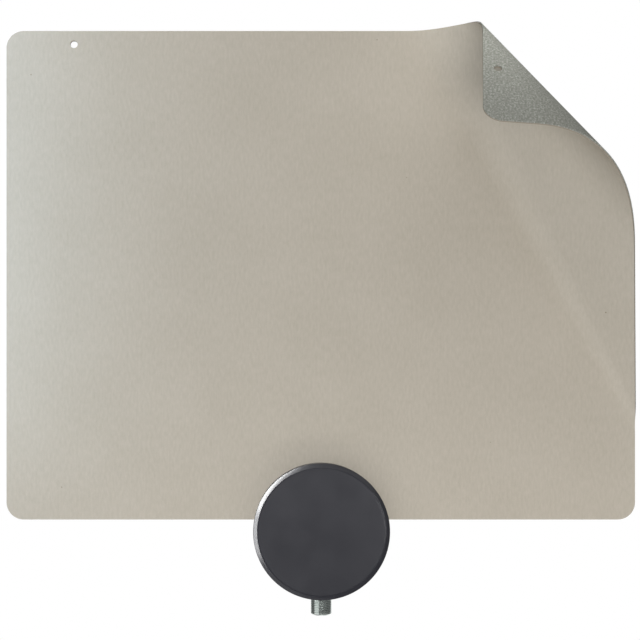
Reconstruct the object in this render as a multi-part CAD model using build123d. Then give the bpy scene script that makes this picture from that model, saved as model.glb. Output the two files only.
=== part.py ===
from build123d import *
import math
import os

# Flat indoor television antenna: a laminated sheet with its upper right corner curled over,
# and a round two-part housing clamped on the sheet's lower edge.
# Millimetres, +Z up. The front faces -Y, and the origin is the middle of the housing's flat back.
# A depth is measured from that back towards the viewer, so it is minus Y.

# Sheet
sheet_width = 292.0
sheet_height = 227.0
sheet_corner_radius = 8.0
front_skin_thickness = 0.45
back_skin_thickness = 0.45
glue_line = 0.06
sheet_edge_above_axis = 4.5
hang_hole_diameter = 3.5
hang_hole_from_side = 31.3
hang_hole_from_top = 6.2

# Curled corner: each bend line crosses the top edge and the right edge at these two distances
# from the corner, and the sheet turns by these angles from one line to the next.
bend_lines = [(106.4, 187.7), (82.2, 174.1), (78.9, 99.6), (67.4, 64.0), (53.6, 22.7)]
bend_turns = [51.5, 0.0, 50.9, 61.9]
turn_per_crease = 4.0

# Foil element: one folded strip with two feed strips that run down into the housing
foil_thickness = 0.1
foil_pocket_clearance = 0.1
foil_half_width = 118.0
foil_low = 37.0
foil_high = 78.0
foil_strip = 9.0
foil_corner_radius = 4.0
feed_strip_width = 6.0
feed_strip_centre = 9.0
feed_strip_end_above_edge = 2.0

# Round housing
housing_diameter = 62.0
housing_wall = 1.8
front_plate = 1.8
face_bevel = 1.9
face_bevel_depth = 1.2
face_crown = 0.5
face_groove_width = 0.6
face_groove_depth = 0.25
rear_floor = 1.6
rear_seat = 3.0
rear_edge_chamfer = 0.8
lip_thickness = 1.0
lip_height = 1.2
lip_clearance = 0.15
sheet_edge_clearance = 0.2

# Screws and their bosses
screw_circle_radius = 23.0
screw_angle = 45.0
screw_shank_diameter = 2.4
screw_length = 8.0
screw_head_diameter = 4.6
screw_head_height = 1.4
screw_head_sunk = 0.3
screw_hole_clearance = 0.2
screw_pilot_clearance = 0.1
screw_head_clearance = 0.5
boss_diameter = 6.0

# Circuit board and what it carries
board_width = 26.0
board_top_above_edge = 7.6
board_thickness = 1.2
board_edge_clearance = 0.2
board_corner_radius = 1.5
board_post_diameter = 4.0
board_post_spread = 10.0
board_post_from_end = 4.0
board_clamp_below_edge = 1.0
core_width = 7.4
core_height = 4.4
core_length = 6.0
core_hole_diameter = 1.6
core_hole_spread = 1.6
core_below_axis = 5.0
winding_diameter = 1.0
winding_overhang = 0.8
winding_lead_diameter = 0.8
spring_width = 4.0
spring_thickness = 0.25
spring_foot = 2.5
spring_run = 3.0
spring_tail = 1.0
spring_tail_rise = 0.5
spring_touch = 0.06
spring_foot_above_edge = 1.0
window_margin = 1.0

# Coaxial port
connector_diameter = 9.525
connector_reach = 7.2
connector_clearance = 0.2
plate_clearance = 0.4
block_clearance = 0.1
connector_bore = 7.0
thread_relief_diameter = 8.9
thread_relief_gap = 0.3
connector_mouth_chamfer = 0.5
shoulder_width = 13.0
shoulder_thickness = 1.5
block_width = 10.4
block_length = 4.0
finger_width = 1.6
finger_length = 3.0
finger_thickness = 0.8
finger_spread = 4.0
insulator_recess = 0.8
insulator_fit = 0.03
contact_diameter = 1.8
contact_hole_diameter = 0.9
contact_hole_depth = 8.0
contact_recess = 1.2
contact_tail_diameter = 0.9
contact_tail_length = 4.0

# Depths and heights that follow from the sizes above
sheet_thickness = back_skin_thickness + glue_line + front_skin_thickness
sheet_middle = rear_seat + back_skin_thickness + glue_line / 2
parting = rear_seat + sheet_thickness
plate_inner = parting + connector_clearance + connector_diameter + plate_clearance
face_edge = plate_inner + front_plate
housing_depth = face_edge + face_crown
housing_radius = housing_diameter / 2
cavity_radius = housing_radius - housing_wall
sheet_low = sheet_edge_above_axis
sheet_top = sheet_low + sheet_height
foil_front = rear_seat + back_skin_thickness
foil_back = foil_front - foil_thickness
connector_axis = parting + connector_clearance + connector_diameter / 2
barrel_end = -housing_radius - connector_reach
barrel_high = -housing_radius - thread_relief_gap
shoulder_half = shoulder_width / 2
shoulder_low = connector_clearance - math.sqrt(cavity_radius**2 - shoulder_half**2)
shoulder_high = shoulder_low + shoulder_thickness
block_high = shoulder_high + block_length
board_front = connector_axis - contact_tail_diameter / 2
board_back = board_front - board_thickness
board_top = sheet_low + board_top_above_edge
board_low = block_high + board_edge_clearance
screw_across = screw_circle_radius * math.cos(math.radians(screw_angle))
screw_up = screw_circle_radius * math.sin(math.radians(screw_angle))
screw_places = [(sx * screw_across, sz * screw_up) for sx in (-1, 1) for sz in (-1, 1)]
screw_seat = screw_head_sunk + screw_head_height
spring_foot_low = sheet_low + spring_foot_above_edge
spring_tip = spring_foot_low + spring_foot + spring_run

# Sheet plane: local x runs left along the top edge and local y down the right edge,
# both from the sharp corner, and local z points to the viewer.
sheet_plane = Plane(
    origin=(sheet_width / 2, -sheet_middle, sheet_top), x_dir=(-1, 0, 0), z_dir=(0, -1, 0)
)


def prism(sketch, depth_from, depth_to):
    """Extrude a front-view sketch, in X and Z, between two depths."""
    return extrude(Plane.XZ.offset(depth_from) * sketch, depth_to - depth_from)


def post(x, z, diameter, depth_from, depth_to):
    """Round post or hole that runs front to back."""
    return prism(Pos(x, z) * Circle(diameter / 2), depth_from, depth_to)


def upright(diameter, z_from, z_to):
    """Round bar on the coaxial port's axis."""
    middle = (z_from + z_to) / 2
    return Pos(0, -connector_axis, middle) * Cylinder(diameter / 2, z_to - z_from)


def block(x_half, z_from, z_to, depth_from, depth_to):
    """Box centred on X, between two heights and two depths."""
    outline = Pos(0, (z_from + z_to) / 2) * Rectangle(2 * x_half, z_to - z_from)
    return prism(outline, depth_from, depth_to)


def on_sheet(x, z):
    """Distances along the top and right edges, from the corner, of a front-view point."""
    return Pos(sheet_width / 2 - x, sheet_top - z)


# Laminated sheet


def fold(plane, line, angle):
    """Turn a plane of the sheet towards the viewer, about a bend line that lies in it."""
    start = plane.from_local_coords(Vector(line[0], 0, 0))
    end = plane.from_local_coords(Vector(0, line[1], 0))
    hinge = Axis(start, end - start)
    return Plane(
        origin=start + (plane.origin - start).rotate(hinge, angle),
        x_dir=plane.x_dir.rotate(hinge, angle),
        z_dir=plane.z_dir.rotate(hinge, angle),
    )


def between(first, second, share):
    """Bend line at a share of the way from one line to another."""
    return tuple(a + (b - a) * share for a, b in zip(first, second))


def curl_creases():
    """Fine creases of the curl, each with the planes of the sheet before and after it."""
    plane = sheet_plane
    creases = [(bend_lines[0], plane, plane)]
    for first, second, turn in zip(bend_lines, bend_lines[1:], bend_turns):
        steps = math.ceil(turn / turn_per_crease)
        for step in range(steps):
            line = between(first, second, (step + 0.5) / steps)
            turned = fold(plane, line, turn / steps)
            creases.append((line, plane, turned))
            plane = turned
    creases.append((bend_lines[-1], plane, plane))
    return creases


def beyond(line):
    """Corner of the flat sheet that lies past a bend line, drawn with room to spare."""
    along_top, along_side = line
    spare = 0.1
    return make_face(
        Polyline(
            (along_top * (1 + spare), -along_side * spare),
            (-along_top * spare, along_side * (1 + spare)),
            (-along_top, -along_side),
            close=True,
        )
    )


def sheet_blank():
    """Flat sheet as it is cut out, with its hang holes and the housing's screw holes."""
    blank = Pos(sheet_width / 2, sheet_height / 2) * RectangleRounded(
        sheet_width, sheet_height, sheet_corner_radius
    )
    for from_side in (hang_hole_from_side, sheet_width - hang_hole_from_side):
        blank -= Pos(from_side, hang_hole_from_top) * Circle(hang_hole_diameter / 2)
    screw_hole = Circle(screw_shank_diameter / 2 + screw_hole_clearance)
    for x, z in screw_places:
        if z > sheet_low:
            blank -= on_sheet(x, z) * screw_hole
    return blank


def crease_section(crease, low, high):
    """Cut through a skin along a crease, on the mitre between the planes on its two sides."""
    (along_top, along_side), before, after = crease
    start = before.from_local_coords(Vector(along_top, 0, 0))
    end = before.from_local_coords(Vector(0, along_side, 0))
    mitre = (before.z_dir + after.z_dir) / (1 + before.z_dir.dot(after.z_dir))
    ring = [start + mitre * low, end + mitre * low, end + mitre * high, start + mitre * high]
    return make_face(Polyline(*ring, close=True))


def curled_skin(low, high):
    """One skin of the sheet, between two offsets from the sheet's middle plane."""
    creases = curl_creases()
    blank = sheet_blank()
    flat = extrude(sheet_plane.offset(low) * (blank - beyond(bend_lines[0])), high - low)
    flap_plane = creases[-1][2]
    flap = extrude(flap_plane.offset(low) * (blank & beyond(bend_lines[-1])), high - low)
    curl = loft([crease_section(crease, low, high) for crease in creases], ruled=True)
    return flat + curl + flap


def foil_outline():
    """Folded strip, open at the middle of its lower side, with its two feed strips."""
    height = foil_high - foil_low
    middle = Pos(0, (foil_high + foil_low) / 2)
    outer = RectangleRounded(2 * foil_half_width, height, foil_corner_radius)
    inner = Rectangle(2 * (foil_half_width - foil_strip), height - 2 * foil_strip)
    outline = middle * (outer - inner)
    gap_half = feed_strip_centre - feed_strip_width / 2
    outline -= Pos(0, foil_low + foil_strip / 2) * Rectangle(2 * gap_half, foil_strip)
    feed_low = sheet_low + feed_strip_end_above_edge
    feed_high = foil_low + foil_strip
    feed = Rectangle(feed_strip_width, feed_high - feed_low)
    for side in (-1, 1):
        outline += Pos(side * feed_strip_centre, (feed_low + feed_high) / 2) * feed
    return outline


def make_antenna_foil():
    return prism(foil_outline(), foil_back, foil_front)


def make_front_skin():
    low = glue_line / 2
    skin = curled_skin(low, low + front_skin_thickness)
    window = Rectangle(
        spring_width + 2 * window_margin, spring_run + spring_tail + 2 * window_margin
    )
    window_middle = spring_tip + (spring_tail - spring_run) / 2
    for side in (-1, 1):
        opening = Pos(side * feed_strip_centre, window_middle) * window
        skin -= prism(opening, foil_front, parting + glue_line)
    return skin


def make_back_skin():
    high = -glue_line / 2
    skin = curled_skin(high - back_skin_thickness, high)
    pocket = offset(foil_outline(), foil_pocket_clearance)
    return skin - prism(pocket, foil_back, parting)


# Housing


def connector_slot():
    """U-shaped way through the wall, open to the parting plane."""
    half = connector_diameter / 2 + connector_clearance
    reach = 2 * housing_wall
    way = block(half, -housing_radius - reach, reach - housing_radius, parting, connector_axis)
    return way + upright(2 * half, -housing_radius - reach, reach - housing_radius)


def board_post_places():
    """Heights of the two rows of posts that carry the board."""
    return (board_low + board_post_from_end, sheet_low - sheet_edge_clearance - board_post_diameter)


def make_front_cover():
    bevel_start = face_edge - face_bevel_depth
    face_radius = housing_radius - face_bevel
    profile = Polyline(
        (0, -plate_inner),
        (cavity_radius, -plate_inner),
        (cavity_radius, -parting),
        (housing_radius, -parting),
        (housing_radius, -bevel_start),
        (face_radius, -face_edge),
    )
    crown_radius = (face_radius**2 + face_crown**2) / (2 * face_crown)
    half_radius = face_radius / 2
    half_rise = math.sqrt(crown_radius**2 - half_radius**2) - (crown_radius - face_crown)
    crown = ThreePointArc(
        (face_radius, -face_edge), (half_radius, -face_edge - half_rise), (0, -housing_depth)
    )
    axis_line = Line((0, -housing_depth), (0, -plate_inner))
    cover = revolve(make_face([*profile.edges(), crown, axis_line]), Axis.Y)
    groove = Circle(face_radius) - Circle(face_radius - face_groove_width)
    cover -= prism(groove, face_edge - face_groove_depth, housing_depth)
    pilot = screw_shank_diameter + screw_pilot_clearance
    for x, z in screw_places:
        cover += post(x, z, boss_diameter, parting, plate_inner)
        cover -= post(x, z, pilot, parting, screw_seat + screw_length + screw_hole_clearance)
    for side in (-1, 1):
        clamp_z = sheet_low - board_clamp_below_edge
        cover += post(side * board_post_spread, clamp_z, board_post_diameter, board_front, plate_inner)
    return cover - connector_slot()


def make_rear_cover():
    lip_radius = cavity_radius - lip_clearance
    inner_radius = lip_radius - lip_thickness
    profile = Polyline(
        (0, 0),
        (housing_radius - rear_edge_chamfer, 0),
        (housing_radius, -rear_edge_chamfer),
        (housing_radius, -parting),
        (lip_radius, -parting),
        (lip_radius, -parting - lip_height),
        (inner_radius, -parting - lip_height),
        (inner_radius, -rear_floor),
        (0, -rear_floor),
        close=True,
    )
    cover = revolve(make_face(profile), Axis.Y)
    for x, z in screw_places:
        cover += post(x, z, boss_diameter, rear_floor, parting)
    above_lip = parting + 2 * lip_height
    recess_low = sheet_low - sheet_edge_clearance
    cover -= block(housing_diameter, recess_low, housing_diameter, rear_seat, above_lip)
    lip_gap = shoulder_half + lip_clearance
    cover -= block(lip_gap, -housing_diameter, 0, parting, above_lip)
    for side in (-1, 1):
        for z in board_post_places():
            cover += post(side * board_post_spread, z, board_post_diameter, rear_floor, board_back)
    for x, z in screw_places:
        cover -= post(x, z, screw_shank_diameter + 2 * screw_hole_clearance, 0, parting)
        cover -= post(x, z, screw_head_diameter + screw_head_clearance, 0, screw_seat)
    return cover


def make_cover_screws():
    screws = []
    for x, z in screw_places:
        head = post(x, z, screw_head_diameter, screw_head_sunk, screw_seat)
        shank = post(x, z, screw_shank_diameter, screw_seat, screw_seat + screw_length)
        screws.append(head + shank)
    return Compound(children=screws)


# Circuit board and the pieces on it


def make_circuit_board():
    outline = RectangleRounded(board_width, board_top - board_low, board_corner_radius)
    return prism(Pos(0, (board_low + board_top) / 2) * outline, board_back, board_front)


def core_plane():
    """Plane across the core at the middle of its length, with local y towards the viewer."""
    depth = board_front + core_height / 2
    return Plane(origin=(0, -depth, -core_below_axis), x_dir=(1, 0, 0), z_dir=(0, 0, 1))


def make_balun_core():
    outline = SlotOverall(core_width, core_height)
    for side in (-1, 1):
        outline -= Pos(side * core_hole_spread, 0) * Circle(core_hole_diameter / 2)
    return extrude(core_plane() * outline, core_length / 2, both=True)


def make_balun_winding():
    straight = core_length + 2 * winding_overhang
    depth = board_front + core_height / 2
    loop_plane = Plane.XZ.offset(depth) * Pos(0, -core_below_axis)
    half = straight / 2
    spread = core_hole_spread
    loop = loop_plane * Polyline((0, -half), (-spread, -half), (-spread, half), (0, half))
    section = Plane(loop @ 0, z_dir=loop % 0) * Circle(winding_diameter / 2)
    turn = sweep(section, loop, transition=Transition.RIGHT)
    winding = turn + mirror(turn, Plane.YZ)
    for side in (-1, 1):
        lead_z = side * half - core_below_axis
        winding += post(0, lead_z, winding_lead_diameter, board_front, depth)
    return winding


def make_contact_spring(side):
    """Leaf spring from the board's back down to a feed strip."""
    foot_depth = board_back - spring_thickness / 2
    tip_depth = foil_front + spring_touch + spring_thickness / 2
    foot_high = spring_foot_low + spring_foot
    strip = Polyline(
        (-foot_depth, spring_foot_low),
        (-foot_depth, foot_high),
        (-tip_depth, spring_tip),
        (-tip_depth - spring_tail_rise, spring_tip + spring_tail),
    )
    leaf = Plane.YZ.offset(side * feed_strip_centre) * trace(strip, spring_thickness)
    return extrude(leaf, spring_width / 2, both=True)


# Coaxial port


def make_connector_body():
    barrel = upright(connector_diameter, barrel_end, barrel_high)
    mouth = barrel.faces().sort_by(Axis.Z)[0]
    body = chamfer(mouth.edges(), connector_mouth_chamfer)
    body += upright(thread_relief_diameter, barrel_high, shoulder_high)
    shoulder_front = plate_inner - block_clearance
    shoulder_back = parting + block_clearance
    body += block(shoulder_half, shoulder_low, shoulder_high, shoulder_back, shoulder_front)
    body += block(block_width / 2, shoulder_high, block_high, shoulder_back, shoulder_front)
    finger = Rectangle(finger_width, finger_length)
    for side in (-1, 1):
        placed = Pos(side * finger_spread, block_high + finger_length / 2) * finger
        body += prism(placed, board_front, board_front + finger_thickness)
        body += prism(placed, board_back - finger_thickness, board_back)
    return body - upright(connector_bore, barrel_end, block_high)


def make_connector_insulator():
    plug = upright(connector_bore - 2 * insulator_fit, barrel_end + insulator_recess, block_high)
    return plug - upright(contact_diameter + 2 * insulator_fit, barrel_end, block_high)


def make_connector_contact():
    low = barrel_end + insulator_recess + contact_recess
    contact = upright(contact_diameter, low, block_high)
    contact -= upright(contact_hole_diameter, low, low + contact_hole_depth)
    return contact + upright(contact_tail_diameter, block_high, block_high + contact_tail_length)


pieces = {
    "front_skin": make_front_skin(),
    "antenna_foil": make_antenna_foil(),
    "back_skin": make_back_skin(),
    "front_cover": make_front_cover(),
    "rear_cover": make_rear_cover(),
    "cover_screws": make_cover_screws(),
    "circuit_board": make_circuit_board(),
    "balun_core": make_balun_core(),
    "balun_winding": make_balun_winding(),
    "contact_spring_left": make_contact_spring(-1),
    "contact_spring_right": make_contact_spring(1),
    "connector_body": make_connector_body(),
    "connector_insulator": make_connector_insulator(),
    "connector_contact": make_connector_contact(),
}

os.makedirs("parts", exist_ok=True)
for name, piece in pieces.items():
    export_step(piece, f"parts/{name}.step")
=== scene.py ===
# %% [markdown]
# # A flat indoor television antenna
#
# The object is a thin laminated sheet, beige board in front and speckled grey board behind, with
# its upper right corner curled over. A round charcoal housing clamps the lower edge, and a bright
# threaded port for the aerial lead sticks out below it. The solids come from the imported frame, in
# metres: X runs right, Z runs up, and the front faces -Y. This lesson dresses them.

# %% Load the frame
import math

import bpy
import numpy as np
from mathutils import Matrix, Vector


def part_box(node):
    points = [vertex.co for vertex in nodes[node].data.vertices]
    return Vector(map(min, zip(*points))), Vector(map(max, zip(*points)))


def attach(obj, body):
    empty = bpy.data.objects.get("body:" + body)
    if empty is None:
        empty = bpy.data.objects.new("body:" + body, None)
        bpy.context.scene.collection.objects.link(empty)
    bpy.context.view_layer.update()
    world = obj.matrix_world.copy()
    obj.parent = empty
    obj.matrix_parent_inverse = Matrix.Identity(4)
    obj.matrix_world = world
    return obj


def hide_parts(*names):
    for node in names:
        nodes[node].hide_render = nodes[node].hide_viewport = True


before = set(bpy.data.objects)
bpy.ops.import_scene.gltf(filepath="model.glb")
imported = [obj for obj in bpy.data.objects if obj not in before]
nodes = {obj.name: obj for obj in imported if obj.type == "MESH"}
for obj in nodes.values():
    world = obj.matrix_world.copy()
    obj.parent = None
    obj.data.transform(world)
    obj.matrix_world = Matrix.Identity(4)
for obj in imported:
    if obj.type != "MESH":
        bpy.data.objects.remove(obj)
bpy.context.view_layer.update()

# %% [markdown]
# ## Helpers for meshes
#
# Every new piece here is a surface worked out as a numpy array of points and an array of faces.
# The helpers list a grid's faces, merge points that meet, make a Blender mesh that rides on the
# frame, and store numbers on it for a finish to read. A mesh could also be grown with modelling
# operators, but whole arrays are quicker and exact.

# %% Put arrays into a mesh
sharp_corner = math.radians(38)


def grid_quads(rows, columns, closed=False):
    """Faces of a grid of points: each joins a point to its right, lower right and lower ones.
    A closed grid also joins its last column to its first."""
    index = np.arange(rows * columns).reshape(rows, columns)
    if closed:
        index = np.hstack([index, index[:, :1]])
    corners = (index[:-1, :-1], index[:-1, 1:], index[1:, 1:], index[1:, :-1])
    return np.stack(corners, axis=-1).reshape(-1, 4)


def welded(points, quads):
    """Merge points less than a micrometre apart. A face that loses one corner becomes a triangle,
    and one that loses more goes. Also gives the index of each kept point among the old ones."""
    points = points.reshape(-1, 3)
    near = np.round(points, 6)
    _, kept, new_index = np.unique(near, axis=0, return_index=True, return_inverse=True)
    quads = new_index.reshape(-1)[quads]
    repeated = quads == np.roll(quads, -1, axis=1)
    lost = repeated.sum(1)
    triangles = quads[lost == 1][~repeated[lost == 1]].reshape(-1, 3)
    return points[kept], quads[lost == 0].tolist() + triangles.tolist(), kept


def make_piece(name, points, faces, stands_for, finish):
    """Mesh object at the origin from points and faces, riding on the antenna's one body."""
    mesh = bpy.data.meshes.new(name)
    mesh.from_pydata(points.tolist(), [], faces)
    mesh.shade_smooth()
    mesh.set_sharp_from_angle(angle=sharp_corner)
    mesh.materials.append(finish)
    piece = bpy.data.objects.new(name, mesh)
    bpy.context.scene.collection.objects.link(piece)
    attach(piece, "root")
    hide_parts(stands_for)
    print(f"{name}: {len(mesh.vertices)} points, {len(mesh.polygons)} faces")
    return piece


def store_values(mesh, name, domain, values):
    """Store one number per point or per face, for a material to read."""
    layer = mesh.attributes.new(name, "FLOAT", domain)
    layer.data.foreach_set("value", np.asarray(values, np.float32).ravel())


print("mesh helpers ready")

# %% [markdown]
# ## Helpers for finishes
#
# A finish is a small network of nodes around one Principled shader. A pattern is layered noise,
# read from a piece's own coordinates, so it stays put when the piece or the camera moves. The
# helpers below only save typing: one adds a node and fills or links its sockets, the others name
# the few patterns that come back in several finishes.

# %% Add nodes


def linear(red, green, blue):
    """Linear colour of a display colour with values from 0 to 255."""
    share = (np.array([red, green, blue]) / 255 + 0.055) / 1.055
    return (*(share**2.4), 1.0)


def fill(tree, socket, value):
    """Link a socket to another node's output, or set it to a plain value."""
    if isinstance(value, bpy.types.NodeSocket):
        tree.links.new(value, socket)
    else:
        socket.default_value = value


def add(tree, kind, settings=None, **inputs):
    """New node, with its settings and with its inputs by name, an underscore for each space."""
    node = tree.nodes.new(kind)
    for key, value in (settings or {}).items():
        setattr(node, key, value)
    for key, value in inputs.items():
        fill(tree, node.inputs[key.replace("_", " ")], value)
    return node


def maths(tree, operation, first, second):
    """Output of one sum: first and second are numbers or outputs."""
    node = add(tree, "ShaderNodeMath", {"operation": operation})
    fill(tree, node.inputs[0], first)
    fill(tree, node.inputs[1], second)
    return node.outputs[0]


def mixed(tree, share, first, second):
    """Colour that goes from the first to the second as share goes from 0 to 1."""
    node = add(tree, "ShaderNodeMix", {"data_type": "RGBA"})
    fill(tree, node.inputs[0], share)
    fill(tree, node.inputs[6], first)
    fill(tree, node.inputs[7], second)
    return node.outputs[2]


def ranged(tree, value, low, high, to_low=0.0, to_high=1.0):
    """Value carried from one range to another and held at the ends."""
    node = add(tree, "ShaderNodeMapRange", None, Value=value, From_Min=low, From_Max=high)
    fill(tree, node.inputs["To Min"], to_low)
    fill(tree, node.inputs["To Max"], to_high)
    return node.outputs["Result"]


def noise(tree, place, scale, detail=2.0, roughness=0.5):
    """Cloudy noise from 0 to 1, with about this many clumps per metre."""
    settings = {"noise_dimensions": "3D"}
    inputs = {"Vector": place, "Scale": scale, "Detail": detail, "Roughness": roughness}
    return add(tree, "ShaderNodeTexNoise", settings, **inputs).outputs["Fac"]


def stretched(tree, place, along_x, along_y, along_z):
    """Coordinates scaled apart in three directions, so that noise read from them is drawn out."""
    scale = (along_x, along_y, along_z)
    return add(tree, "ShaderNodeMapping", None, Vector=place, Scale=scale).outputs["Vector"]


def new_finish(name):
    """Empty finish: its node tree and its Principled shader."""
    finish = bpy.data.materials.new(name)
    finish.use_nodes = True
    tree = finish.node_tree
    tree.nodes.clear()
    shader = add(tree, "ShaderNodeBsdfPrincipled")
    add(tree, "ShaderNodeOutputMaterial", None, Surface=shader.outputs["BSDF"])
    return finish, tree, shader


def bump(tree, shader, height, strength, distance):
    """Let a height pattern tilt the shading, as fine relief does."""
    node = add(tree, "ShaderNodeBump", None, Strength=strength, Distance=distance, Height=height)
    tree.links.new(node.outputs["Normal"], shader.inputs["Normal"])


print("finish helpers ready")

# %% [markdown]
# ## The board's two faces
#
# The front is uncoated beige board. Its fibres lie mostly upright, so the noise is drawn out along
# the sheet's height, and a few darker flecks are left in the pulp. The back is grey recycled board
# with a salt-and-pepper speckle. Both read the piece's own flat map of the sheet, in metres, so
# that fibres follow the curl as they would on real board. The cut edges carry a value of their
# own: the beige finish reads it and is a little darker there.
# A picture of board could be laid on instead, but layered noise needs none and doesn't repeat.

# %% Beige board
flat_map = "flat_sheet"
beige = linear(188, 180, 167)
beige_dark = linear(176, 168, 154)
fleck_brown = linear(120, 108, 92)
beige_edge = linear(150, 141, 128)
fibre_grain, pulp_grain, cloud_grain = 900.0, 2600.0, 28.0
fibre_stretch = 0.3
fleck_grain = 75.0

beige_board, tree, shader = new_finish("beige_board")
place = add(tree, "ShaderNodeUVMap", {"uv_map": flat_map}).outputs["UV"]
fibres = noise(tree, stretched(tree, place, 1.0, fibre_stretch, 1.0), fibre_grain, 4.0, 0.6)
pulp = noise(tree, place, pulp_grain, 3.0, 0.6)
clouds = noise(tree, place, cloud_grain, 3.0)
texture = maths(tree, "MULTIPLY", fibres, 0.5)
texture = maths(tree, "ADD", texture, maths(tree, "MULTIPLY", pulp, 0.3))
texture = maths(tree, "ADD", texture, maths(tree, "MULTIPLY", clouds, 0.2))
colour = mixed(tree, ranged(tree, texture, 0.36, 0.64), beige_dark, beige)
cells = add(tree, "ShaderNodeTexVoronoi", None, Vector=place, Scale=fleck_grain)
fleck = ranged(tree, cells.outputs["Distance"], 0.018, 0.034, 1.0, 0.0)
chosen = add(tree, "ShaderNodeSeparateColor", None, Color=cells.outputs["Color"]).outputs["Red"]
fleck = maths(tree, "MULTIPLY", fleck, ranged(tree, chosen, 0.55, 0.95, 0.0, 0.8))
cut = add(tree, "ShaderNodeAttribute", {"attribute_name": "cut_edge"}).outputs["Fac"]
colour = mixed(tree, cut, mixed(tree, fleck, colour, fleck_brown), beige_edge)
fill(tree, shader.inputs["Base Color"], colour)
fill(tree, shader.inputs["Roughness"], ranged(tree, texture, 0.3, 0.7, 0.72, 0.86))
fill(tree, shader.inputs["Specular IOR Level"], 0.02)
bump(tree, shader, texture, 0.5, 0.00015)
print("beige board:", len(tree.nodes), "nodes")

# %% Grey board
grey_light = linear(180, 181, 173)
grey = linear(148, 149, 141)
grey_dark = linear(120, 120, 112)
speckle_grain, clump_grain = 1150.0, 260.0

grey_board, tree, shader = new_finish("grey_board")
place = add(tree, "ShaderNodeUVMap", {"uv_map": flat_map}).outputs["UV"]
grains = noise(tree, place, speckle_grain, 3.0, 0.7)
clumps = noise(tree, place, clump_grain, 2.0)
colour = mixed(tree, ranged(tree, grains, 0.3, 0.55), grey_dark, grey)
clustered = maths(tree, "ADD", grains, maths(tree, "MULTIPLY", clumps, 0.2))
salt = ranged(tree, clustered, 0.6, 0.85)
fill(tree, shader.inputs["Base Color"], mixed(tree, salt, colour, grey_light))
fill(tree, shader.inputs["Roughness"], ranged(tree, grains, 0.3, 0.7, 0.66, 0.82))
fill(tree, shader.inputs["Specular IOR Level"], 0.03)
bump(tree, shader, grains, 0.4, 0.00015)
print("grey board:", len(tree.nodes), "nodes")

# %% [markdown]
# ## The curled sheet
#
# Board bends but doesn't stretch, so the curl is a developable surface: it turns a little about
# each of a family of straight bend lines. Here each point of the flat sheet counts how many fine
# creases lie between it and the flat part, and takes the turned plane it finds there. A lattice or
# bend modifier would be quicker to set up, but would stretch the board.

# %% Fine creases of the curl
sheet_width = 0.292
sheet_height = 0.227
sheet_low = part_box("front_skin")[0].z
sheet_middle = -0.00348
bend_lines_mm = [(106.4, 187.7), (82.2, 174.1), (78.9, 99.6), (67.4, 64.0), (53.6, 22.7)]
bend_lines = np.array(bend_lines_mm) / 1000
bend_turns = np.radians([51.5, 0.0, 50.9, 61.9])
turn_per_crease = math.radians(0.5)


def turned(axis, angle):
    """Matrix that turns by an angle about an axis: Rodrigues' formula."""
    x, y, z = axis / np.linalg.norm(axis)
    cross = np.array([[0, -z, y], [z, 0, -x], [-y, x, 0]])
    return np.eye(3) + math.sin(angle) * cross + (1 - math.cos(angle)) * cross @ cross


def curl_planes():
    """Crease lines, and the origin and axes of the sheet's plane before each and after the last.
    A line crosses the top edge and the right edge at two distances from the upper right corner."""
    origin = np.array([sheet_width / 2, sheet_middle, sheet_low + sheet_height])
    axes = np.array([[-1.0, 0, 0], [0, 0, -1.0], [0, -1.0, 0]]).T
    lines, origins, frames = [], [origin], [axes]
    for first, second, turn in zip(bend_lines, bend_lines[1:], bend_turns):
        steps = math.ceil(turn / turn_per_crease)
        for share in (np.arange(steps) + 0.5) / steps:
            line = first + (second - first) * share
            hinge = axes @ np.array([-line[0], line[1], 0])
            start = origin + axes[:, 0] * line[0]
            spin = turned(hinge, turn / steps)
            origin = start + spin @ (origin - start)
            axes = spin @ axes
            lines.append(line)
            origins.append(origin)
            frames.append(axes)
    return np.array(lines), np.array(origins), np.array(frames)


crease_lines, plane_origins, plane_axes = curl_planes()
print("creases:", len(crease_lines))


def curled(across, down, lift):
    """Place of flat points: across and down from the upper right corner, lifted off the middle.
    A point is past a crease where across / a + down / b is under 1 for the crease's distances."""
    passed = np.zeros(across.shape, int)
    for along_top, along_side in crease_lines:
        passed += across / along_top + down / along_side < 1
    flat = np.stack([across, down, np.full(across.shape, lift)], axis=-1)
    return plane_origins[passed] + np.einsum("...ij,...j->...i", plane_axes[passed], flat)


# %% [markdown]
# ## A grid that fits the outline
#
# The grid's lines are close together where the sheet curls. Rows near the top and bottom are
# pulled in to the rounded corners, and each hang hole takes a block of cells: the block's inner
# square is pushed out to a circle, the rings around it fade back to squares, and the cells inside
# are left out. A Boolean cut would leave long thin faces in the curled flap instead.

# %% Flat grid with rounded corners and hang holes
corner_radius = 0.008
hole_radius = 0.00175
hole_from_side = 0.0313
hole_across = (hole_from_side, sheet_width - hole_from_side)
hole_down = 0.0062
hole_square = 0.0012
hole_block = 0.003
square_lines, ring_lines, corner_lines = 9, 5, 11
just_past = 1.02
tiny = 1e-9
curl_across, curl_down = bend_lines[0] * just_past
fine_step, coarse_step = 0.0013, 0.003


def grid_lines(length, fine_length, centres):
    """Line positions: fine up to a length, then coarse, with close lines around each hole."""
    inner = np.linspace(-hole_square, hole_square, square_lines)
    ring = np.linspace(hole_square, hole_block, ring_lines)
    around = np.concatenate([inner, ring[1:], -ring[1:]])
    fine = np.arange(0, fine_length, fine_step)
    coarse = np.arange(fine_length, length, coarse_step)
    lines = np.concatenate([fine, coarse, [length]])
    for centre in centres:
        lines = lines[np.abs(lines - centre) > hole_block * just_past]
        lines = np.concatenate([lines, centre + around])
    return np.unique(np.round(lines, 7))


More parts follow.
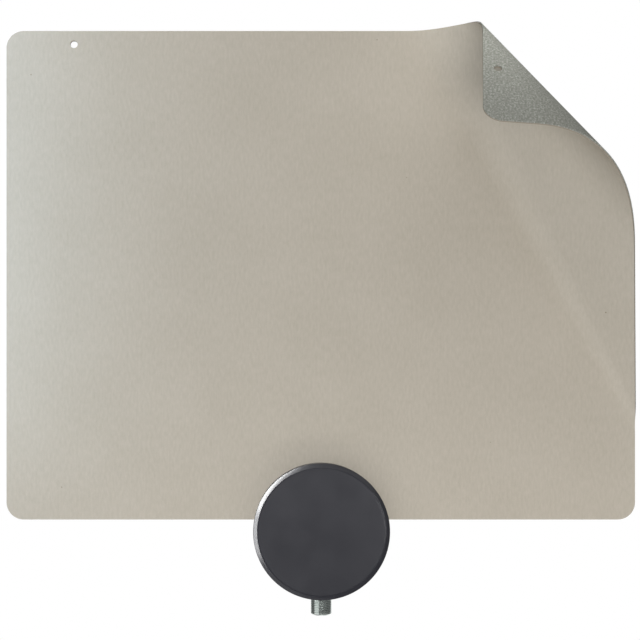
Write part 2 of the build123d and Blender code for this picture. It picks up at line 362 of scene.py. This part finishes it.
def corner_rows(length):
    """Extra rows near both ends, spaced so that they step evenly round a quarter circle."""
    rise = corner_radius * (1 - np.cos(np.linspace(0, math.pi / 2, corner_lines)))
    return np.concatenate([rise, length - rise])


def side_fade(from_side):
    """Share that falls from 1 at the sheet's side to 0 two corner radii in."""
    return np.clip(1 - from_side / (2 * corner_radius), 0, 1)


def rounded(across, down):
    """Pull the ends of rows in to a rounded corner, fading out two radii from the side."""
    from_end = np.minimum(down, sheet_height - down)
    reach = np.clip(corner_radius - from_end, 0, corner_radius)
    inset = corner_radius - np.sqrt(corner_radius**2 - reach**2)
    return across + inset * (side_fade(across) - side_fade(sheet_width - across))


def pierced(across, down):
    """Push a square of the grid out to the circle of each hang hole, fading over its block."""
    for centre in hole_across:
        x, y = across - centre, down - hole_down
        square = np.maximum(np.abs(x), np.abs(y))
        round_share = np.clip((hole_block - square) / (hole_block - hole_square), 0, 1)
        spoke = np.maximum(np.hypot(x, y), tiny)
        stretch = 1 + round_share * (hole_radius / spoke - 1)
        inside = square < hole_block
        across = np.where(inside, centre + x * stretch, across)
        down = np.where(inside, hole_down + y * stretch, down)
    return across, down


columns = grid_lines(sheet_width, curl_across, hole_across)
rows = grid_lines(sheet_height, curl_down, (hole_down,))
rows = np.unique(np.round(np.concatenate([rows, corner_rows(sheet_height)]), 7))
grid_across, grid_down = np.meshgrid(columns, rows)
quads = grid_quads(*grid_across.shape)
middle_x = grid_across.ravel()[quads].mean(1)
middle_y = grid_down.ravel()[quads].mean(1)
for centre in hole_across:
    cell = np.maximum(np.abs(middle_x - centre), np.abs(middle_y - hole_down))
    keep = cell > hole_square
    quads, middle_x, middle_y = quads[keep], middle_x[keep], middle_y[keep]
flat_across, flat_down = pierced(rounded(grid_across, grid_down), grid_down)
print("grid:", grid_across.shape, "cells:", len(quads))

# %% [markdown]
# ## Two skins from one grid
#
# Each skin is the grid twice, once on either face, with a strip of faces along every open edge,
# so it is a closed solid 0.45 mm thick. The strip is found without loops: an edge that no other
# face runs along the other way is an open one. A Solidify modifier could thicken one sheet instead,
# but here each face follows the curl at its own depth, and the strip's faces can be marked as cut.

# %% Front and back skins
skin = 0.00045
glue = 0.00006


def open_edges(quads):
    """Directed edges of the faces whose opposite isn't an edge of any other face."""
    starts, ends = quads.ravel(), np.roll(quads, -1, axis=1).ravel()
    base = quads.max() + 1
    lonely = ~np.isin(starts * base + ends, ends * base + starts)
    return starts[lonely], ends[lonely]


def make_skin(name, low, high, finish):
    """Closed skin between two lifts from the sheet's middle, with its flat map in metres."""
    count = flat_across.size
    sides = [curled(flat_across, flat_down, lift).reshape(-1, 3) for lift in (high, low)]
    points = np.concatenate(sides)
    starts, ends = open_edges(quads)
    rim = np.stack([ends, starts, starts + count, ends + count], axis=-1)
    faces = np.concatenate([quads, quads[:, ::-1] + count, rim])
    piece = make_piece(name + "_board", points, faces.tolist(), name, finish)
    flat = np.stack([sheet_width - flat_across.ravel(), sheet_height - flat_down.ravel()], axis=-1)
    corner = np.empty(len(piece.data.loops), np.int32)
    piece.data.loops.foreach_get("vertex_index", corner)
    layer = piece.data.uv_layers.new(name=flat_map)
    layer.data.foreach_set("uv", np.tile(flat, (2, 1))[corner].astype(np.float32).ravel())
    store_values(piece.data, "cut_edge", "FACE", np.arange(len(faces)) >= 2 * len(quads))


make_skin("front_skin", glue / 2, glue / 2 + skin, beige_board)
make_skin("back_skin", -glue / 2 - skin, -glue / 2, grey_board)

# %% [markdown]
# ## Charcoal plastic
#
# The housing is moulded in dark plastic. Its broad faces have a fine etched grain that scatters
# light, and the bevel round the front is smoother and catches a highlight. Each point of the front
# cover carries a polish value that the finish reads; pieces without it are grained all over. A
# second material on the bevel would do too, but would change at a hard line.

# %% Charcoal plastic finish
charcoal = linear(35, 35, 41)
charcoal_worn = linear(37, 37, 43)
etched_grain, blotch_grain = 5200.0, 90.0

charcoal_plastic, tree, shader = new_finish("charcoal_plastic")
place = add(tree, "ShaderNodeTexCoord").outputs["Object"]
polish = add(tree, "ShaderNodeAttribute", {"attribute_name": "polish"}).outputs["Fac"]
etched = noise(tree, place, etched_grain, 2.0, 0.6)
blotches = noise(tree, place, blotch_grain, 3.0)
colour = mixed(tree, ranged(tree, blotches, 0.35, 0.65), charcoal, charcoal_worn)
fill(tree, shader.inputs["Base Color"], colour)
grained = ranged(tree, maths(tree, "ADD", etched, blotches), 0.6, 1.4, 0.4, 0.5)
smooth_share = ranged(tree, polish, 0.0, 1.0, 1.0, 0.65)
fill(tree, shader.inputs["Roughness"], maths(tree, "MULTIPLY", grained, smooth_share))
fill(tree, shader.inputs["Specular IOR Level"], 0.4)
grain_height = maths(tree, "MULTIPLY", etched, ranged(tree, polish, 0.0, 1.0, 1.0, 0.1))
bump(tree, shader, grain_height, 0.12, 0.00006)
nodes["rear_cover"].data.materials[0] = charcoal_plastic
print("charcoal plastic:", len(tree.nodes), "nodes")

# %% [markdown]
# ## The round front cover
#
# The cover is a turned shape, so one profile goes round the housing's axis: up the wall, over the
# bevel, down and up through the thin groove that frames the face, across the slightly domed face,
# and back along the inside. At the bottom the wall starts higher, on the arch that the port comes
# through. Edges are rounded by a fraction of a millimetre, because that is what catches light. A
# Screw modifier could turn the profile, but it would turn the same one everywhere, with no arch.

# %% Profile of the front cover
cover_low, cover_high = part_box("front_cover")
cover_radius = cover_high.x
parting = -cover_high.y
face_top = -cover_low.y
face_crown = 0.0005
face_edge = face_top - face_crown
bevel_width, bevel_depth = 0.0019, 0.0012
groove_width, groove_depth = 0.0006, 0.00006
wall = 0.0018
plate = 0.0018
edge_round = 0.00035
# How far inside the groove the rim's path ends and the dome's path starts
rim_path_end, dome_path_start = 0.002, 0.003
dome_rings = 18
polish_margin = 0.0004
port_radius = 0.0095250 / 2
port_clearance = 0.0002
port_depth = parting + port_clearance + port_radius
arch_radius = port_radius + port_clearance
largest_cut_share = 0.45


def rounded_path(corners, radius, steps=6):
    """Path through corners, each replaced by a quadratic curve. It starts a radius before the
    corner, or at a set share of the shorter side where that is less."""
    corners = np.asarray(corners, float)
    before, corner, after = corners[:-2], corners[1:-1], corners[2:]
    lead, leave = before - corner, after - corner
    lead_length = np.linalg.norm(lead, axis=1, keepdims=True)
    leave_length = np.linalg.norm(leave, axis=1, keepdims=True)
    cut = np.minimum(radius, largest_cut_share * np.minimum(lead_length, leave_length))
    start, end = corner + lead / lead_length * cut, corner + leave / leave_length * cut
    share = np.linspace(0, 1, steps)[None, :, None]
    curve = (1 - share) ** 2 * start[:, None] + 2 * share * (1 - share) * corner[:, None]
    curve = curve + share**2 * end[:, None]
    return np.concatenate([corners[:1], curve.reshape(-1, 2), corners[-1:]])


face_radius = cover_radius - bevel_width
groove_radius = face_radius - groove_width
rim_end_radius = groove_radius - rim_path_end


def dome_rise(radius):
    """Rise of the face at a radius: a parabola, full at the centre and nothing at the rim."""
    return face_crown * (1 - (radius / face_radius) ** 2)


rim_path = rounded_path(
    [
        (cover_radius, port_depth + arch_radius + port_clearance),
        (cover_radius, face_edge - bevel_depth),
        (face_radius, face_edge),
        (face_radius - groove_width / 2, face_edge - groove_depth),
        (groove_radius, face_edge + dome_rise(groove_radius)),
        (rim_end_radius, face_edge + dome_rise(rim_end_radius)),
    ],
    edge_round,
)
dome_radius = np.linspace(groove_radius - dome_path_start, 0.0, dome_rings)
dome_path = np.stack([dome_radius, face_edge + dome_rise(dome_radius)], axis=-1)
inside_radius = np.array([0.0, cover_radius - wall])
inside_path = np.stack([inside_radius, np.full(2, face_edge - plate)], axis=-1)
cover_path = np.concatenate([rim_path, dome_path, inside_path])
above_wall = cover_path[:, 1] > face_edge - bevel_depth - polish_margin
on_bevel = (cover_path[:, 0] > groove_radius) & above_wall
print("profile points:", len(cover_path))

# %% Carry the profile round
arch_angle = math.asin(arch_radius / cover_radius)
arch_points, round_points = 33, 241
# The wall steps down to the parting line a hair past the arch's two sides
seam_gap = 1e-5
arch_angles = np.linspace(-arch_angle, arch_angle, arch_points)
round_angles = np.linspace(arch_angle, 2 * math.pi - arch_angle, round_points)
round_angles = round_angles + np.linspace(seam_gap, -seam_gap, round_points)
angles = np.concatenate([arch_angles, round_angles])
sideways = cover_radius * np.sin(angles)
in_arch = np.arange(len(angles)) < arch_points
arch_rise = np.sqrt(np.clip(arch_radius**2 - sideways**2, 0, None))
wall_start = np.where(in_arch, port_depth + arch_rise, parting)


def turn_profile(radius, depth):
    """Points of a profile at every angle: angles start at the bottom and go round by the right."""
    x = radius * np.sin(angles)
    z = -radius * np.cos(angles)
    return np.stack([x, np.broadcast_to(-depth, x.shape), z], axis=-1)


ring_rows = [turn_profile(cover_radius, wall_start)]
ring_rows += [turn_profile(radius, depth) for radius, depth in cover_path]
ring_rows += [turn_profile(cover_radius - wall, wall_start), turn_profile(cover_radius, wall_start)]
cover_grid = np.stack(ring_rows)
cover_quads = grid_quads(*cover_grid.shape[:2], closed=True)[:, ::-1]
points, faces, kept = welded(cover_grid, cover_quads)
front_shell = make_piece(
    "front_cover_shell", points, faces, "front_cover", charcoal_plastic
)
polish_rows = np.concatenate([[0.0], on_bevel.astype(float), [0.0, 0.0]])
polish_points = np.repeat(polish_rows, len(angles))[kept]
store_values(front_shell.data, "polish", "POINT", polish_points)

# %% [markdown]
# ## The threaded port
#
# A coaxial port has a fine thread, 32 turns to the inch, cut into a plated barrel. The thread is a
# height on the barrel: a triangle wave of the distance along it, shifted by one pitch for each
# turn, which makes a true helix. It is drawn shallower than a real one, with wide flat crests,
# because a deep one breaks up into speckle at this size. It fades in past the chamfered mouth and
# out at the relief neck. A Screw modifier could wind a tooth, but its ends would need a cut.

# %% Bright plating
plating = linear(203, 211, 207)
plating_dull = linear(190, 198, 194)
haze_grain, fine_grain = 420.0, 1500.0

bright_plating, tree, shader = new_finish("bright_plating")
place = add(tree, "ShaderNodeTexCoord").outputs["Object"]
haze = noise(tree, place, haze_grain, 3.0)
fine = noise(tree, stretched(tree, place, 1.0, 1.0, 6.0), fine_grain, 2.0)
colour = mixed(tree, ranged(tree, haze, 0.4, 0.7), plating, plating_dull)
sheen = ranged(tree, maths(tree, "ADD", haze, fine), 0.6, 1.4, 0.16, 0.22)
fill(tree, shader.inputs["Base Color"], colour)
fill(tree, shader.inputs["Roughness"], sheen)
fill(tree, shader.inputs["Metallic"], 1.0)
print("bright plating:", len(tree.nodes), "nodes")

# %% Threaded barrel
pitch = 0.0254 / 32
thread_depth = 0.22 * pitch
crest_share = 0.6
chamfer = 0.0005
neck_radius = 0.0089 / 2
bore_radius = 0.0070 / 2
body_low, body_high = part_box("connector_body")
barrel_low = body_low.z
neck_gap = 0.0003
neck_inside = 0.0045
bore_stop = 0.003
barrel_high = -cover_radius - neck_gap
bore_top = body_high.z - bore_stop
neck_top = -cover_radius + neck_inside
barrel_steps, thread_rows = 96, 300
barrel_turns = np.linspace(0, 2 * math.pi, barrel_steps + 1)[:-1]


def barrel_ring(radius, height):
    """Ring of points about the port's upright axis."""
    x = radius * np.cos(barrel_turns)
    y = radius * np.sin(barrel_turns) - port_depth
    return np.stack([x, y, np.full(x.shape, height)], axis=-1)


def thread_ring(height):
    """Ring on the thread: the radius falls by a triangle wave with wide flat crests."""
    phase = (height / pitch - barrel_turns / (2 * math.pi)) % 1
    wave = np.clip((np.abs(2 * phase - 1) - crest_share) / (1 - crest_share), 0, 1)
    into = np.clip(min(height - barrel_low - chamfer, barrel_high - height) / pitch, 0, 1)
    return barrel_ring(port_radius - thread_depth * wave * into, height)


thread_heights = np.linspace(barrel_low + chamfer, barrel_high, thread_rows)
mouth_rings = [
    barrel_ring(bore_radius, bore_top),
    barrel_ring(bore_radius, barrel_low + chamfer / 2),
    barrel_ring(bore_radius + chamfer / 2, barrel_low),
    barrel_ring(port_radius - chamfer, barrel_low),
]
thread_rings = [thread_ring(height) for height in thread_heights]
neck_rings = [barrel_ring(neck_radius, barrel_high), barrel_ring(neck_radius, neck_top)]
barrel_grid = np.stack(mouth_rings + thread_rings + neck_rings)
barrel_quads = grid_quads(*barrel_grid.shape[:2], closed=True)
points, faces, _ = welded(barrel_grid, barrel_quads)
make_piece("threaded_port", points, faces, "connector_body", bright_plating)

# %% [markdown]
# ## Pieces inside, and the screws
#
# The foil between the skins, the matching board and its parts hide inside the housing, and only
# the screws and the port's insulator show. Their solids already have the right shapes, so each
# keeps its solid and only gets a finish: two close colours mixed by noise, a matching change of
# roughness, and a little relief. Metals also set the metallic socket.

# %% Finishes for the solids that stay


def mottled_finish(name, light, dark, grain, roughness, metallic=0.0, drawn=(1.0, 1.0, 1.0)):
    """Finish with two colours and a range of roughness mixed by one noise, drawn out if asked."""
    finish, tree, shader = new_finish(name)
    place = add(tree, "ShaderNodeTexCoord").outputs["Object"]
    pattern = noise(tree, stretched(tree, place, *drawn), grain, 3.0, 0.6)
    colour = mixed(tree, ranged(tree, pattern, 0.35, 0.65), linear(*dark), linear(*light))
    fill(tree, shader.inputs["Base Color"], colour)
    fill(tree, shader.inputs["Roughness"], ranged(tree, pattern, 0.3, 0.7, *roughness))
    fill(tree, shader.inputs["Metallic"], metallic)
    bump(tree, shader, pattern, 0.1, 0.2 / grain)
    return finish


# Light colour, dark colour, grains per metre and roughness, then for some metallic and stretch
mottled_finishes = {
    "screw_steel": ((170, 170, 172), (140, 141, 144), 2400.0, (0.26, 0.4), 1.0),
    "foil": ((212, 212, 214), (192, 192, 195), 300.0, (0.24, 0.4), 1.0, (1.0, 1.0, 0.2)),
    "board_laminate": ((38, 98, 62), (28, 80, 50), 1800.0, (0.34, 0.5)),
    "ferrite": ((62, 60, 60), (44, 43, 43), 2600.0, (0.6, 0.78)),
    "enamelled_wire": ((178, 98, 52), (150, 78, 40), 1500.0, (0.2, 0.32), 1.0),
    "spring_brass": ((212, 178, 104), (188, 154, 86), 1200.0, (0.24, 0.36), 1.0),
    "white_plastic": ((228, 227, 222), (218, 216, 210), 1400.0, (0.42, 0.56)),
}
finishes = {name: mottled_finish(name, *values) for name, values in mottled_finishes.items()}
print("finishes:", ", ".join(finishes))

# %% Dress the solids that stay
kept_solids = {
    "cover_screws": "screw_steel",
    "antenna_foil": "foil",
    "circuit_board": "board_laminate",
    "balun_core": "ferrite",
    "balun_winding": "enamelled_wire",
    "contact_spring_left": "spring_brass",
    "contact_spring_right": "spring_brass",
    "connector_contact": "spring_brass",
    "connector_insulator": "white_plastic",
}
for name, finish in kept_solids.items():
    nodes[name].data.materials[0] = finishes[finish]
print("solids that stay:", ", ".join(kept_solids))

# %% [markdown]
# ## Stage
#
# The photograph is a cut-out on pure white, so the world is white to the camera and in
# reflections, and gives an even level of light. A pale floor lies well below the hung antenna. It
# is lit by a lamp of its own, and throws no light back on matt surfaces. A white backdrop would do
# from the front, but not from the other sides.

# %% Floor
floor_level = -0.45
floor_reach = 1.2
floor_steps = 96
floor_dark = linear(238, 238, 236)
floor_pale = linear(244, 244, 243)
mottle_grain = 6.0
floor_finish, tree, shader = new_finish("pale_floor")
place = add(tree, "ShaderNodeTexCoord").outputs["Object"]
mottle = noise(tree, place, mottle_grain, 3.0)
fill(tree, shader.inputs["Base Color"], mixed(tree, mottle, floor_dark, floor_pale))
fill(tree, shader.inputs["Roughness"], 0.8)


def make_stage(name, points, quads, finish):
    """Stage object from a grid of points: not part of the antenna."""
    mesh = bpy.data.meshes.new(name)
    points, faces, _ = welded(points, quads)
    mesh.from_pydata(points.tolist(), [], faces)
    mesh.materials.append(finish)
    piece = bpy.data.objects.new(name, mesh)
    bpy.context.scene.collection.objects.link(piece)
    return piece


spokes = np.linspace(0, 2 * math.pi, floor_steps + 1)[:-1]
reach = np.array([[0.0], [floor_reach]])
heights = np.full((2, floor_steps), floor_level)
disc = np.stack([reach * np.cos(spokes), reach * np.sin(spokes), heights], axis=-1)
floor_quads = grid_quads(2, floor_steps, closed=True)[:, ::-1]
floor = make_stage("floor", disc, floor_quads, floor_finish)
floor.visible_diffuse = False
print("floor at", floor_level)

# %% White world
even_light = 0.33
world = bpy.data.worlds.new("white_studio")
world.use_nodes = True
bpy.context.scene.world = world
tree = world.node_tree
tree.nodes.clear()
path = add(tree, "ShaderNodeLightPath").outputs
seen = maths(tree, "MAXIMUM", path["Is Camera Ray"], path["Is Glossy Ray"])
seen = maths(tree, "MAXIMUM", seen, path["Is Transmission Ray"])
level = ranged(tree, seen, 0.0, 1.0, even_light, 1.0)
sky = add(tree, "ShaderNodeBackground", None, Color=(1.0, 1.0, 1.0, 1.0), Strength=level)
add(tree, "ShaderNodeOutputWorld", None, Surface=sky.outputs["Background"])
print("even light of", even_light)

# %% [markdown]
# ## Lights
#
# The photograph's light comes from low in front, since the board darkens where the curl turns
# upward. A large lamp stands there, with a weaker one to its left. Small lamps shape the rest: cool
# ones beside the paler left edge, strips along the upper and lower edges, and two at the curled
# flap. Soft lamps behind and below light the back and the floor. Four reflectors and two dark
# curtains show only in gloss. Three of the reflectors are linked to the housing alone, for its
# rim's bright arc, because they would burn out bare metal. The port mirrors the curtains, and the
# white gap between them is its bright band. The housing throws no shadow on the board in the
# photograph, so none is cast. One large lamp is simpler, but would light the board too evenly.

# %% Soft lamps and reflectors
white = (1.0, 1.0, 1.0)
cool = (0.58, 0.78, 1.0)
at_sheet = (0.0, 0.0, 0.10)
at_flap = (0.068, -0.038, 0.215)
at_housing = (0.0, 0.0, 0.0)


def soft_light(name, place, aim, size, power, colour=white, matt=True, gloss=True):
    """Area light of a width and height at a place, facing a point. It may light only matt
    surfaces, or show only in gloss."""
    lamp = bpy.data.lights.new(name, "AREA")
    lamp.shape = "RECTANGLE"
    lamp.size, lamp.size_y = size
    lamp.energy = power
    lamp.color = colour
    holder = bpy.data.objects.new(name, lamp)
    holder.location = place
    toward = Vector(aim) - Vector(place)
    holder.rotation_euler = toward.to_track_quat("-Z", "Y").to_euler()
    holder.visible_camera = False
    holder.visible_diffuse = matt
    holder.visible_glossy = gloss
    bpy.context.scene.collection.objects.link(holder)


# Name, place, aim, width and height, power and colour
lamps = [
    ("key", (0.15, -0.90, -0.35), at_sheet, (0.8, 0.3), 4.75, white),
    ("fill", (-0.35, -0.90, -0.20), at_sheet, (0.8, 0.3), 2.1, white),
    ("cool_strip", (-0.166, -0.0735, 0.20), (-0.166, 0.0, 0.20), (0.02, 0.34), 0.082, cool),
    ("cool_side", (-0.32, -0.12, 0.16), (-0.10, 0.0, 0.13), (0.06, 0.4), 0.23, cool),
    ("top_strip", (-0.10, -0.10, 0.27), (-0.10, 0.0, 0.24), (0.12, 0.02), 0.0165, white),
    ("low_strip", (0.06, -0.16, -0.14), (0.06, 0.0, 0.03), (0.5, 0.06), 0.165, white),
    ("curl_light", (0.075, -0.07, 0.245), at_flap, (0.02, 0.02), 0.0117, white),
    ("curl_side", (0.105, -0.085, 0.25), at_flap, (0.02, 0.02), 0.01, white),
    ("back_light", (0.30, 0.90, 0.10), at_sheet, (1.0, 1.0), 5.0, white),
]
reflectors = [
    ("rim_reflector", (-0.26, -0.11, 0.22), (-0.02, 0.0, 0.02), (0.1, 0.36), 6.0),
    ("low_reflector", (-0.28, -0.12, -0.05), at_housing, (0.1, 0.20), 1.05),
    ("top_reflector", (-0.10, -0.60, 0.45), at_housing, (0.6, 0.2), 1.8),
    ("right_reflector", (0.35, -0.40, 0.05), at_housing, (0.1, 0.3), 1.7),
]
for lamp in lamps:
    soft_light(*lamp, gloss=False)
for reflector in reflectors:
    soft_light(*reflector, matt=False)
soft_light("floor_light", (0.0, 0.0, -0.20), (0.0, 0.0, -1.0), (3.2, 3.2), 22.0, gloss=False)
print("lamps:", len(lamps) + 1, "and reflectors:", len(reflectors))

# %% Light for the housing alone
front_shell.visible_shadow = False
housing_only = bpy.data.collections.new("housing_only")
housing_only.objects.link(front_shell)
for name in ("rim_reflector", "low_reflector", "right_reflector"):
    bpy.data.objects[name].light_linking.receiver_collection = housing_only
print("reflectors kept to", front_shell.name)

# %% Dark curtains
curtain_black = (0.1, 0.1, 0.1, 1.0)
curtain_grey = (0.35, 0.35, 0.35, 1.0)
fold_grain = 9.0
curtain_finish, tree, shader = new_finish("dark_curtain")
place = add(tree, "ShaderNodeTexCoord").outputs["Object"]
folds = noise(tree, stretched(tree, place, 1.0, 1.0, 0.1), fold_grain, 2.0)
fill(tree, shader.inputs["Base Color"], mixed(tree, folds, curtain_black, curtain_grey))
fill(tree, shader.inputs["Roughness"], 0.9)

# Degrees from straight ahead of the housing's face, round to the right
curtain_spans = {"right_curtain": (-30, 135), "left_curtain": (-150, -82)}
curtain_columns = 72
curtain_reach = np.array([[1.0], [1.0], [0.1]])
curtain_height = np.array([[0.6], [-0.44], [-0.44]])
heights = np.broadcast_to(curtain_height, (3, curtain_columns))
curtain_quads = grid_quads(3, curtain_columns)
for name, span in curtain_spans.items():
    turns = np.radians(np.linspace(*span, curtain_columns))
    grid = [curtain_reach * np.sin(turns), -curtain_reach * np.cos(turns), heights]
    curtain = make_stage(name, np.stack(grid, axis=-1), curtain_quads, curtain_finish)
    curtain.visible_camera = False
    curtain.visible_diffuse = False
    curtain.visible_shadow = False
    curtain.visible_transmission = False
print("curtains:", ", ".join(curtain_spans))

# %% [markdown]
# ## Camera
#
# The sheet's edges stay parallel in the photograph, so the camera looks squarely at the sheet, and
# the picture is framed by shifting the lens rather than by turning the camera.

# %% Camera
image_size = 640
sensor = 36.0
camera_distance = 0.4014
camera_x, camera_z = -0.0143, 0.0461
focal_pixels = 862.9
centre_pixel = (290.0, 430.0)

camera_data = bpy.data.cameras.new("camera")
camera_data.sensor_width = sensor
camera_data.lens = sensor * focal_pixels / image_size
camera_data.shift_x = (image_size / 2 - centre_pixel[0]) / image_size
camera_data.shift_y = (centre_pixel[1] - image_size / 2) / image_size
camera_data.clip_start = 0.01
camera = bpy.data.objects.new("camera", camera_data)
camera.location = (camera_x, sheet_middle - camera_distance, camera_z)
camera.rotation_euler = (math.pi / 2, 0.0, 0.0)
bpy.context.scene.collection.objects.link(camera)
bpy.context.scene.camera = camera
bpy.context.scene.view_settings.view_transform = "Standard"
shift = (round(camera_data.shift_x, 4), round(camera_data.shift_y, 4))
print("lens:", round(camera_data.lens, 2), "shift:", *shift)
